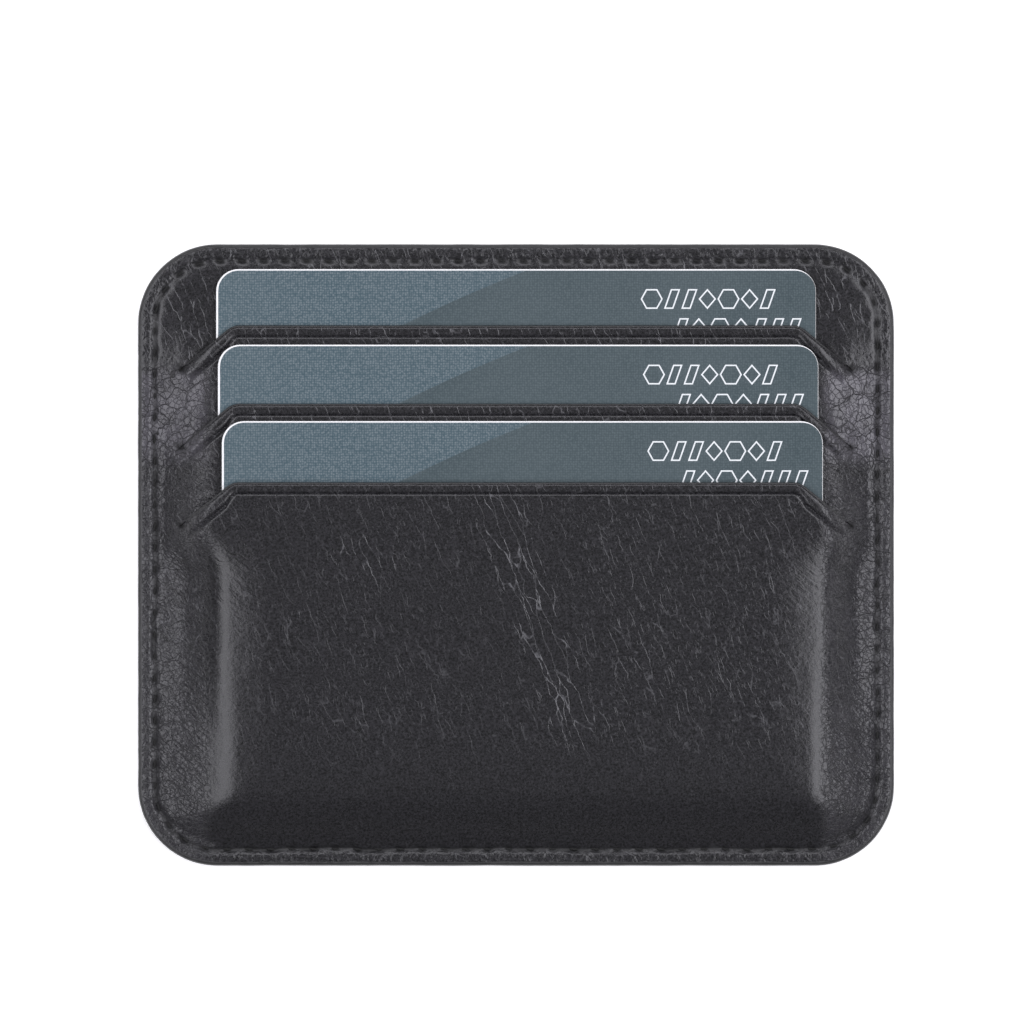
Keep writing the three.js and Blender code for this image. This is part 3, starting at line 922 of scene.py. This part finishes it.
def motif_loops(top, left, kinds):
    """A row of outlined shapes: hexagons, lozenges and slanted bars."""
    loops = []
    x, size = left, MOTIF_SIZE
    for kind in kinds:
        half = size / 2
        if kind == "hexagon":
            w = size * 1.12
            shape = [(x, -half), (x + w * 0.25, -size), (x + w * 0.75, -size), (x + w, -half),
                     (x + w * 0.75, 0), (x + w * 0.25, 0)]
        elif kind == "lozenge":
            w = size * 0.86
            shape = [(x, -half), (x + w / 2, -size), (x + w, -half), (x + w / 2, 0)]
        else:
            w = size * 0.78
            shape = [(x, -size), (x + w * 0.55, -size), (x + w, 0), (x + w * 0.45, 0)]
        loops.append([(px, py + top) for px, py in shape])
        x += w + MOTIF_GAP
    return loops


FIRST_ROW = ("hexagon", "bar", "bar", "lozenge", "hexagon", "lozenge", "bar")
SECOND_ROW = ("bar", "lozenge", "hexagon", "lozenge", "bar", "bar", "bar")
MOTIF_SIZE, MOTIF_GAP, MOTIF_LINE = 2.62, 0.42, 0.2
MOTIF_ROWS = ((-2.95, 24.9, FIRST_ROW), (-7.1, 20.3, SECOND_ROW))
INK_RISE = 0.012


def build_motif(card, material):
    """Two generic rows of outlined shapes printed in white at the card's upper right."""
    name, _, right, place = card_frame(card)
    loops = []
    for top, from_right, kinds in MOTIF_ROWS:
        loops += motif_loops(top, right - from_right, kinds)
    flat, faces = outline_strokes(loops, MOTIF_LINE)
    printed = place(lift(flat, CARD_THICKNESS + INK_RISE))
    obj = make_object(f"{name}_card_motif", printed, faces, material, f"{name}_card_body")


def build_chip(card, material):
    """Contact plate of the chip: eight pads round a middle one, parted by fine grooves."""
    name, *_, place = card_frame(card)
    low, high = box_mm(f"{name}_card_chip")
    cx, width = (low[0] + high[0]) / 2, high[0] - low[0]
    cy, tall, inset = -CHIP_FROM_TOP, CHIP_HEIGHT, CHIP_GROOVE / 2
    pads = [(-width / 6, width / 6, -tall / 2, tall / 2)]
    for x0, x1 in [(-width / 2, -width / 6), (width / 6, width / 2)]:
        pads += [(x0, x1, y0, y0 + tall / 4) for y0 in np.arange(4) * tall / 4 - tall / 2]
    vertices, faces = [], []
    for x0, x1, y0, y1 in pads:
        rings = []
        for grow, z in [(0, 0.0), (0, 0.012), (0.05, 0.022)]:
            loop = rounded_loop(cx + x0 + inset + grow, cx + x1 - inset - grow,
                                cy + y0 + inset + grow, cy + y1 - inset - grow, 0.25, 4)
            rings.append(lift(loop, CARD_THICKNESS + z))
        faces += stacked(rings, len(vertices))
        vertices += list(np.concatenate(rings))
    body = f"{name}_card_body"
    obj = make_object(f"{name}_chip_plate", place(np.array(vertices)), faces, material, body)
    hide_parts(f"{name}_card_chip")


def build_stripe(card, material):
    name, left, right, place = card_frame(card)
    rings = []
    for inset, z in [(0.02, -0.012), (0.0, 0.0)]:
        loop = rounded_loop(left + 0.02 + inset, right - 0.02 - inset,
                            STRIPE_BOTTOM + inset, STRIPE_TOP - inset, 0.06, 2)
        rings.append(lift(loop, z))
    body = f"{name}_card_body"
    obj = make_object(f"{name}_stripe", place(np.concatenate(rings)), stacked(rings), material, body)
    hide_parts(f"{name}_card_stripe")


# ---- Materials ----


class Nodes:
    """A short way to write a node material."""

    def __init__(self, name):
        self.material = bpy.data.materials.new(name)
        self.material.use_nodes = True
        self.tree = self.material.node_tree
        self.tree.nodes.clear()
        self.output = self.tree.nodes.new("ShaderNodeOutputMaterial")
        self.shader = self.tree.nodes.new("ShaderNodeBsdfPrincipled")
        self.tree.links.new(self.shader.outputs[0], self.output.inputs[0])

    def node(self, kind, **settings):
        """A node with its inputs and properties set. An input's spaces are written as underscores."""
        made = self.tree.nodes.new("ShaderNode" + kind)
        for key, value in settings.items():
            socket = key.replace("_", " ")
            if socket in made.inputs:
                self.feed(made.inputs[socket], value)
            else:
                setattr(made, key, value)
        return made

    def feed(self, socket, value):
        if isinstance(value, bpy.types.NodeSocket):
            self.tree.links.new(value, socket)
        else:
            socket.default_value = value

    def surface(self, **settings):
        """Sets inputs of the surface shader, each to a socket or to a value of its own."""
        for key, value in settings.items():
            self.feed(self.shader.inputs[key.replace("_", " ")], value)

    def apply(self, kind, operation, *values, **settings):
        """A node whose inputs take the values in their order."""
        made = self.node(kind, operation=operation, **settings)
        for socket, value in zip(made.inputs, values):
            self.feed(socket, value)
        return made

    def math(self, operation, *values, clamp=False):
        return self.apply("Math", operation, *values, use_clamp=clamp).outputs[0]

    def times(self, *values, clamp=False):
        return self.math("MULTIPLY", *values, clamp=clamp)

    def object_mm(self, scale=(1.0, 1.0, 1.0), turn=0.0):
        place = self.node("TexCoord").outputs["Object"]
        scale = [s / MM for s in scale]
        return self.node("Mapping", Vector=place, Scale=scale, Rotation=(0, 0, turn)).outputs[0]

    def attribute(self, name, output="Fac"):
        return self.node("Attribute", attribute_name=name).outputs[output]

    def noise(self, vector, scale, detail=2.0, roughness=0.5):
        made = self.node("TexNoise", Vector=vector, Scale=scale, Detail=detail, Roughness=roughness)
        return made.outputs["Fac"]

    def cracks(self, vector, scale, width):
        """Near 1 on the lines between cells and 0 inside them."""
        made = self.node("TexVoronoi", feature="DISTANCE_TO_EDGE", Vector=vector, Scale=scale)
        return self.remap(made.outputs["Distance"], 0.0, width, 1.0, 0.0)

    def remap(self, value, from_low, from_high, to_low=0.0, to_high=1.0):
        return self.node("MapRange", Value=value, From_Min=from_low, From_Max=from_high,
                         To_Min=to_low, To_Max=to_high).outputs["Result"]

    def stretch(self, vector, scale):
        return self.apply("VectorMath", "MULTIPLY", vector, scale).outputs[0]

    def warp(self, vector, scale, amount):
        """The coordinates pushed about by noise."""
        noise = self.node("TexNoise", Vector=vector, Scale=scale).outputs["Color"]
        return self.apply("VectorMath", "MULTIPLY_ADD", noise, (amount,) * 3, vector).outputs[0]

    def mix_colour(self, factor, a, b):
        made = self.node("Mix", data_type="RGBA", Factor=factor)
        for socket, value in zip([s for s in made.inputs if s.type == "RGBA"], (a, b)):
            self.feed(socket, value)
        return [s for s in made.outputs if s.type == "RGBA"][0]

    def bump(self, height, distance, strength=1.0):
        return self.node("Bump", Height=height, Distance=distance * MM, Strength=strength).outputs[0]


def rgb(*values):
    return (*values, 1.0)


def leather_material():
    n = Nodes("waxed_leather")
    place = n.object_mm()
    cracks_and_sheen, pebbled = n.attribute("cracks_and_sheen"), n.attribute("pebbled")
    folded, hair_strength = n.attribute("folded"), n.attribute("hair")

    speck = n.noise(place, 3.3, 3.0, 0.7)
    fine = n.noise(place, 1.7, 1.0, 0.5)
    soft = n.noise(place, 0.3, 1.0, 0.5)
    bent = n.warp(place, 0.7, 0.9)
    pebbles = n.cracks(bent, 1.1, 0.3)
    wide_cracks = n.cracks(n.warp(bent, 0.35, 1.4), 0.42, 0.03)
    thin_cracks = n.cracks(bent, 1.3, 0.06)
    grain = n.cracks(n.warp(place, 2.0, 0.25), 3.0, 0.5)

    # Pale crackle: the edges of long cells that slant down to the right, broken up by noise.
    slanted = n.warp(n.object_mm(turn=math.radians(-22)), 0.25, 1.6)
    slanted = n.warp(slanted, 1.6, 0.22)
    strands = n.cracks(n.stretch(slanted, (1.0, 0.13, 1.0)), 0.75, 0.027)
    broken = n.remap(n.noise(n.stretch(slanted, (0.8, 0.3, 1.0)), 1.3, 2.0, 0.6), 0.46, 0.6)
    broken = n.math("ADD", broken, n.remap(hair_strength, 0.75, 1.0, 0.0, 0.35), clamp=True)
    short = n.cracks(n.stretch(slanted, (1.0, 0.26, 1.0)), 1.9, 0.055)
    short_broken = n.remap(n.noise(place, 1.3, 2.0, 0.6), 0.49, 0.62, 0.0, 0.65)
    short_broken = n.times(short_broken, n.remap(hair_strength, 0.6, 0.9, 1.0, 0.2))
    hair = n.times(strands, broken)
    hair = n.math("MAXIMUM", hair, n.times(short, short_broken))
    hair = n.times(hair, hair_strength, clamp=True)

    # Close wrinkles drawn towards the ends of the lower slots.
    fold_place = n.warp(n.object_mm(turn=math.radians(35)), 0.3, 1.3)
    folds = n.noise(n.stretch(fold_place, (0.3, 1.9, 1.0)), 1.0, 2.0, 0.55)
    folds = n.remap(folds, 0.35, 0.65)

    dark, light = rgb(0.003, 0.003, 0.0037), rgb(0.0225, 0.0218, 0.0255)
    colour = n.mix_colour(n.remap(speck, 0.36, 0.66), dark, light)
    colour = n.mix_colour(hair, colour, rgb(0.11, 0.11, 0.118))
    # Painted sheen: the cracked side margins are lightened towards a pale grey, standing in for the light
    # they catch.
    painted_margin_sheen = n.times(cracks_and_sheen, cracks_and_sheen)
    painted_margin_sheen = n.times(painted_margin_sheen, n.remap(soft, 0.35, 0.6, 0.5, 1.0))
    colour = n.mix_colour(painted_margin_sheen, colour, rgb(0.085, 0.081, 0.094))
    crack_lines = n.math("MAXIMUM", wide_cracks, n.times(thin_cracks, 0.7))
    crack_lines = n.times(crack_lines, n.remap(cracks_and_sheen, 0.0, 0.5), clamp=True)
    colour = n.mix_colour(crack_lines, colour, rgb(0.002, 0.002, 0.0024))
    colour = n.mix_colour(n.attribute("shade"), colour, rgb(0.001, 0.001, 0.001))

    rough = n.remap(speck, 0.3, 0.7, 0.24, 0.31)
    rough = n.math("ADD", rough, n.times(crack_lines, 0.5))
    rough = n.math("ADD", rough, n.times(n.attribute("shade"), 0.6), clamp=True)

    lumpy = n.times(pebbled, n.remap(cracks_and_sheen, 0.0, 1.0, -0.05, -0.02))
    height = n.times(fine, n.remap(pebbled, 0.0, 1.0, 0.03, 0.07))
    parts = ((soft, 0.06), (speck, 0.009), (grain, -0.007), (pebbles, lumpy), (crack_lines, -0.05),
             (n.times(folds, folded), 0.12), (hair, -0.02))
    for part, amount in parts:
        height = n.math("MULTIPLY_ADD", part, amount, height)
    n.surface(Base_Color=colour, Roughness=rough, Specular_IOR_Level=0.5, Normal=n.bump(height, 1.0))
    return n.material


def speckled(name, scale, detail, dark, light, roughness, stretch=(1.0, 1.0, 1.0), relief=0, **surface):
    """A material whose colour drifts between two tones, and its roughness too if it is a pair."""
    n = Nodes(name)
    speck = n.noise(n.object_mm(stretch), scale, detail)
    rough = n.remap(speck, 0.3, 0.7, *roughness) if isinstance(roughness, tuple) else roughness
    n.surface(Base_Color=n.mix_colour(speck, rgb(*dark), rgb(*light)), Roughness=rough, **surface)
    if relief:
        n.surface(Normal=n.bump(speck, relief, 0.4))
    return n.material


def thread_material():
    n = Nodes("bonded_thread")
    twist = n.node("TexWave", bands_direction="DIAGONAL", Vector=n.object_mm(), Scale=1.6).outputs["Fac"]
    # Painted shade: the colour darkens in the grooves of the twist and lightens on its ridges, following
    # the relief.
    colour = n.mix_colour(twist, rgb(0.002, 0.002, 0.002), rgb(0.007, 0.007, 0.007))
    n.surface(Base_Color=colour, Roughness=0.8, Normal=n.bump(twist, 0.05, 0.6))
    return n.material


def lining_material():
    """Plain weave: two sets of fine ridges, one across the other."""
    n = Nodes("woven_lining")
    heights = []
    place = n.object_mm()
    for direction in ("X", "Y"):
        wave = n.node("TexWave", bands_direction=direction, Vector=place, Scale=0.75, Distortion=0.4)
        heights.append(wave.outputs["Fac"])
    weave = n.math("MAXIMUM", *heights)
    # Painted shade: the colour darkens where the weave is low, between the threads.
    colour = n.mix_colour(weave, rgb(0.004, 0.004, 0.0045), rgb(0.018, 0.018, 0.02))
    n.surface(Base_Color=colour, Roughness=0.85, Sheen_Weight=0.15, Normal=n.bump(weave, 0.06, 0.7))
    return n.material


ARC_CENTRE = (83.3, -209.8, 0.0)
ARC_RADIUS = 225.0
ARC_BLUR = 0.06


def card_face_material():
    """Grey-blue print in two tones that meet along a wide arc, with a fine screen of dots."""
    n = Nodes("card_print")
    mm = n.attribute("card_mm", "Vector")
    flat = n.stretch(mm, (1, 1, 0))
    away = n.apply("VectorMath", "DISTANCE", flat, ARC_CENTRE).outputs["Value"]
    inside = n.remap(away, ARC_RADIUS - ARC_BLUR, ARC_RADIUS + ARC_BLUR, 1.0, 0.0)
    screen = n.node("TexVoronoi", feature="F1", Vector=flat, Scale=2.9, Randomness=0.4)
    dots = n.remap(screen.outputs["Distance"], 0.12, 0.6, 1.0, 0.0)
    cloud = n.noise(flat, 0.06, 3.0)
    light = n.mix_colour(dots, rgb(0.037, 0.073, 0.093), rgb(0.152, 0.19, 0.21))
    dark = n.mix_colour(dots, rgb(0.034, 0.055, 0.064), rgb(0.073, 0.1, 0.11))
    colour = n.mix_colour(inside, light, dark)
    colour = n.mix_colour(n.remap(cloud, 0.3, 0.7, 0.0, 0.2), colour, rgb(0.072, 0.1, 0.111))
    rough = n.remap(cloud, 0.3, 0.7, 0.38, 0.48)
    n.surface(Base_Color=colour, Roughness=rough, Normal=n.bump(dots, 0.01, 0.2))
    return n.material


# ---- Linings ----

LINING_RIPPLE = 0.02
LINING_WAVE = 14.0
POCKET_CLOTH = 0.15
POCKET_SIDES = (0.45, 0.35)
POCKET_CORNER = 3.0
LEAF_TOPS = {"rear": (28.2, 16.8), "middle": (16.9, 5.6), "front": (5.7, 6.0)}


def build_pocket(card, material):
    """A folded strip of lining: a back leaf and a front leaf that share the fold at the foot."""
    name = CARDS[card]
    zero, slope = PLANES[card]
    card_low, card_high = box_mm(f"{name}_card")
    left, right = float(card_low[0]) - POCKET_SIDES[0], float(card_high[0]) + POCKET_SIDES[1]
    foot_y = float(box_mm(f"{name}_pocket_lining")[0][1]) + 0.1
    back_top, front_top = LEAF_TOPS[name]
    columns = np.linspace(left, right, 89)
    back_z, front_z = -0.1, CARD_THICKNESS + 0.03
    middle, radius = (back_z + front_z) / 2, (front_z - back_z) / 2
    fold = np.linspace(0.3, math.pi - 0.3, 7)
    line = [(y, back_z) for y in np.linspace(back_top, foot_y + 0.5, 42)]
    line += [(foot_y + 0.5 - 0.45 * math.sin(a), middle - radius * math.cos(a)) for a in fold]
    line += [(y, front_z) for y in np.linspace(foot_y + 0.5, front_top, 36)]
    line = np.array(line)
    direction = np.gradient(line, axis=0)
    direction /= np.linalg.norm(direction, axis=1)[:, None]
    outward = np.stack([direction[:, 1], -direction[:, 0]], 1)
    from_edge = np.minimum(columns - left, right - columns)
    pinch = 1 - (1 - np.sqrt(1 - (1 - np.clip(from_edge / 0.6, 0, 1)) ** 2)) * 0.92
    inward = np.maximum(POCKET_CORNER - from_edge, 0)
    round_up = POCKET_CORNER - np.sqrt(POCKET_CORNER**2 - inward**2)
    rings = []
    for (y, z), (oy, oz) in zip(line, outward):
        shut = middle + (z - middle) * (pinch if y < front_top - 0.5 else np.ones_like(columns))
        ripple = LINING_RIPPLE * layered_noise(columns, np.full_like(columns, y), LINING_WAVE, 140 + card)
        sides = []
        for out in (0, POCKET_CLOTH):
            y_here = y + oy * out + round_up * smooth((foot_y + 7 - y) / 7)
            z_here = shut + oz * out + ripple * np.sign(z - middle)
            sides.append(np.column_stack([columns, y_here, zero + slope * y_here + z_here]))
        rings.append(np.concatenate([sides[0], sides[1][::-1]]))
    count, last = 2 * len(columns), 2 * len(columns) * (len(line) - 1)
    faces = ring_faces(count, len(line))
    for c in range(len(columns) - 1):
        end = (c, c + 1, count - 2 - c, count - 1 - c)
        faces += [end[::-1], tuple(last + i for i in end)]
    obj = make_object(f"{name}_pocket", np.concatenate(rings), faces, material, sharp_angle=60)
    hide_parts(f"{name}_pocket_lining")


FLAT_CLOTH = 0.13


def build_flat_lining(name, node, seed, material):
    high = box_mm(node)[1]
    inset = HALF_WIDTH - float(high[0])
    points, faces, _ = flat_sheet([inset, 2.2, INNER_INSET], 3.0, [], 0)
    edge = outline_inset(*points.T)
    top = float(high[2]) - 0.01
    wave = LINING_RIPPLE * layered_noise(*points.T, LINING_WAVE, seed) * smooth((edge - 5) / 6)
    upper = np.column_stack([points, top - 0.02 + wave])
    lower = np.column_stack([points, top - 0.02 - FLAT_CLOTH + wave])
    faces = closed_sheet(faces, faces, len(points))
    obj = make_object(name, np.concatenate([upper, lower]), faces, material, sharp_angle=50)
    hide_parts(node)


# ---- Light, floor and camera ----


LIGHT_COLOUR = (0.985, 0.98, 1.04)


def softbox(name, azimuth, off_vertical, distance, length, depth, radiance):
    """A large area light that faces the holder: its length is level, its depth leans with it."""
    light = bpy.data.lights.new(name, "AREA")
    light.shape = "RECTANGLE"
    light.size, light.size_y = length, depth
    light.energy = 4 * radiance * length * depth
    light.color = LIGHT_COLOUR
    lamp = in_scene(name, light)
    tilt, turn = math.radians(off_vertical), math.radians(azimuth)
    direction = Vector((math.sin(tilt) * math.cos(turn), math.sin(tilt) * math.sin(turn), math.cos(tilt)))
    lamp.location = direction * distance
    lamp.rotation_euler = direction.to_track_quat("Z", "Y").to_euler()


FLOOR_HALF = 1.5
FLOOR_GLOW = 0.4
WORLD_STRENGTH = 0.19


def build_stage():
    """A floor that glows a little, so that it comes out white, three softboxes and a pale world."""
    size = FLOOR_HALF
    mesh = bpy.data.meshes.new("floor")
    corners = [(-size, -size, 0), (size, -size, 0), (size, size, 0), (-size, size, 0)]
    mesh.from_pydata(corners, [], [(0, 1, 2, 3)])
    mesh.materials.append(speckled("pale_floor", 0.02, 2.0, (0.93, 0.93, 0.93), (0.95, 0.95, 0.95), 0.9,
                                   Specular_IOR_Level=0.1, Emission_Color=rgb(1, 1, 1),
                                   Emission_Strength=FLOOR_GLOW))
    floor = in_scene("floor", mesh)
    floor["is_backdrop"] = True

    softbox("left_softbox", 180, 34, 1.1, 1.25, 0.56, 2.5)
    softbox("right_softbox", 0, 34, 1.1, 1.25, 0.56, 3.2)
    softbox("top_softbox", 90, 42, 1.2, 0.8, 0.4, 2.9)

    world = bpy.data.worlds.new("studio")
    world.use_nodes = True
    world.node_tree.nodes["Background"].inputs["Color"].default_value = rgb(1, 1, 1)
    world.node_tree.nodes["Background"].inputs["Strength"].default_value = WORLD_STRENGTH
    bpy.context.scene.world = world


VIEW_WIDTH = 146.2
CAMERA_HEIGHT = 1700.0
VIEW_CENTRE = (-0.57, 6.14)


def build_camera():
    data = bpy.data.cameras.new("camera")
    data.sensor_width = 36.0
    data.lens = data.sensor_width * (CAMERA_HEIGHT - RIM_TOP) / VIEW_WIDTH
    data.clip_start = 0.05
    data.clip_end = 10.0
    camera = in_scene("camera", data)
    camera.location = (VIEW_CENTRE[0] * MM, VIEW_CENTRE[1] * MM, CAMERA_HEIGHT * MM)
    bpy.context.scene.camera = camera


# ---- Assembly ----

build_camera()
build_stage()
bpy.context.scene.view_settings.view_transform = "Standard"

leather = leather_material()
thread = thread_material()
lining = lining_material()
face = card_face_material()
paint = speckled("edge_paint", 1.4, 3.0, (0.012, 0.012, 0.013), (0.03, 0.03, 0.031), (0.3, 0.48),
                 relief=0.05)
core = speckled("card_core", 1.2, 2.0, (0.78, 0.79, 0.8), (0.9, 0.9, 0.9), 0.4)
back = speckled("card_back", 0.4, 3.0, (0.1, 0.14, 0.165), (0.13, 0.17, 0.2), 0.45)
ink = speckled("white_ink", 2.5, 2.0, (0.62, 0.66, 0.68), (0.85, 0.87, 0.88), 0.5)
gold = speckled("gold_contacts", 1.0, 2.0, (0.78, 0.56, 0.24), (0.9, 0.7, 0.36), (0.22, 0.34),
                stretch=(8, 0.4, 1), Metallic=1.0)
tape = speckled("magnetic_tape", 1.0, 2.0, (0.008, 0.007, 0.006), (0.018, 0.015, 0.013), 0.35,
                stretch=(0.2, 4, 1))

build_front_panel(leather)
build_back_panel(leather)
build_edge(paint)
build_stitches("front_stitches", "front_seam_thread", RIM_TOP - SEAM_SINK, 1, thread)
build_stitches("back_stitches", "back_seam_thread", 0.0, -1, thread)
for slot, node in enumerate(("upper_lip_paint", "middle_lip_paint", "lower_lip_paint")):
    build_lip_paint(slot, node, paint)
build_flat_lining("back_pocket_lining", "back_lining", 151, lining)
build_flat_lining("note_divider", "note_pocket_divider", 161, lining)
for card in range(len(CARDS)):
    build_pocket(card, lining)
    build_card(card, core, face, back)
    build_motif(card, ink)
    build_chip(card, gold)
    build_stripe(card, tape)

bounds = {"cad": cad_bounds, "visual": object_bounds()}
{name: [list(corner) for corner in box] for name, box in bounds.items()}
